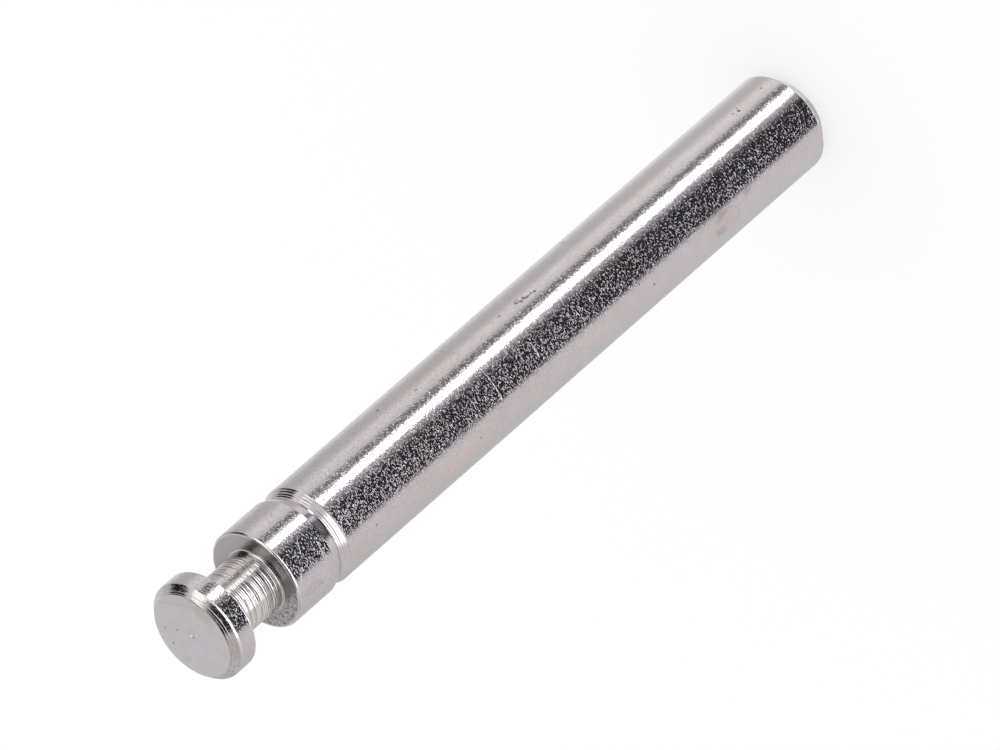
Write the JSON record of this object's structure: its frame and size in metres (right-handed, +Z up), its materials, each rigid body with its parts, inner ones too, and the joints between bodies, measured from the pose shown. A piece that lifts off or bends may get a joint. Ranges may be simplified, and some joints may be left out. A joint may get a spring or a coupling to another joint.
{
  "type": "carburetor choke pin",
  "caption": "Slim turned plunger pin with a round head, a narrow neck behind it, a shallow locating groove and a chamfered tail.",
  "frame": {"origin": "centre of the pin's tail face, which is the middle of the bottom of its box", "axes": "+Z up the pin's centre line, from the tail to the head's outer face; X and Y are any two directions across it, because the pin is round"},
  "size_m": [0.005, 0.005, 0.0428],
  "materials": {
    "nickel_plate": "bright nickel plate on turned steel, with fine pitting and turning marks"
  },
  "bodies": {
    "root": {"choke_pin": "nickel_plate"}
  },
  "joints": []
}
